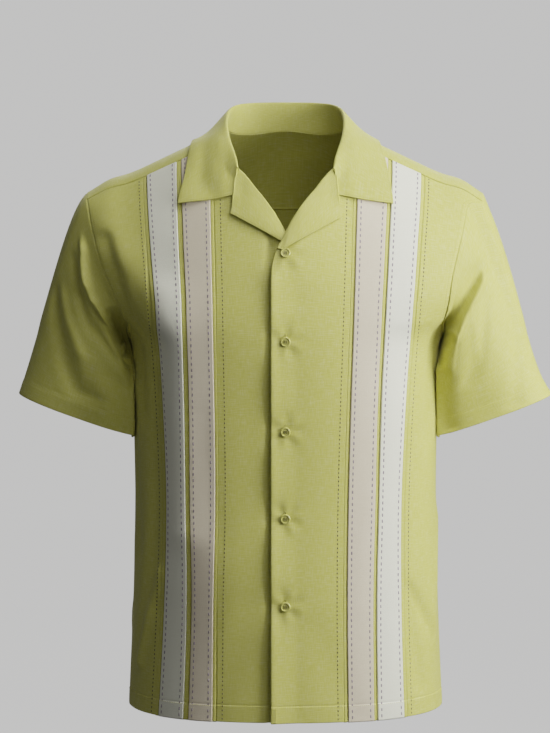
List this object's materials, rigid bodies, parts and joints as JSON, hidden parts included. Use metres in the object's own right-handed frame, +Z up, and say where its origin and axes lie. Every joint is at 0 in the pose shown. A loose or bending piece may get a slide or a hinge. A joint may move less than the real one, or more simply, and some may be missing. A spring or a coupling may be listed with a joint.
{
  "type": "bowling shirt",
  "caption": "Short-sleeved button-front shirt with a notched turn-down collar and contrasting stitched bands down each front, open at neck, cuffs and hem, in its worn form.",
  "frame": {"origin": "centre of the neck opening, level with the points where the neck meets the shoulders", "axes": "+Z up, -Y to the front of the shirt, +X to the wearer's left"},
  "size_m": [0.6541, 0.2722, 0.7338],
  "materials": {
    "shirt_cloth": "plain slubbed weave, yellow-green, with a faint sheen",
    "white_cloth": "plain weave, off-white, with a faint sheen",
    "beige_cloth": "plain weave, pale pinkish beige",
    "button_plastic": "yellow-green, smooth"
  },
  "bodies": {
    "root": {"front_left": "shirt_cloth", "inner_tuck_left": "shirt_cloth", "beige_band_left": "beige_cloth", "middle_tuck_left": "shirt_cloth", "white_band_left": "white_cloth", "outer_tuck_left": "shirt_cloth", "front_right": "shirt_cloth", "inner_tuck_right": "shirt_cloth", "beige_band_right": "beige_cloth", "middle_tuck_right": "shirt_cloth", "white_band_right": "white_cloth", "outer_tuck_right": "shirt_cloth", "back": "shirt_cloth", "yoke": "shirt_cloth", "sleeve_left": "shirt_cloth", "sleeve_right": "shirt_cloth", "collar": "shirt_cloth", "lapel_left": "shirt_cloth", "lapel_right": "shirt_cloth", "button_1": "button_plastic", "button_2": "button_plastic", "button_3": "button_plastic", "button_4": "button_plastic", "button_5": "button_plastic"}
  },
  "joints": []
}
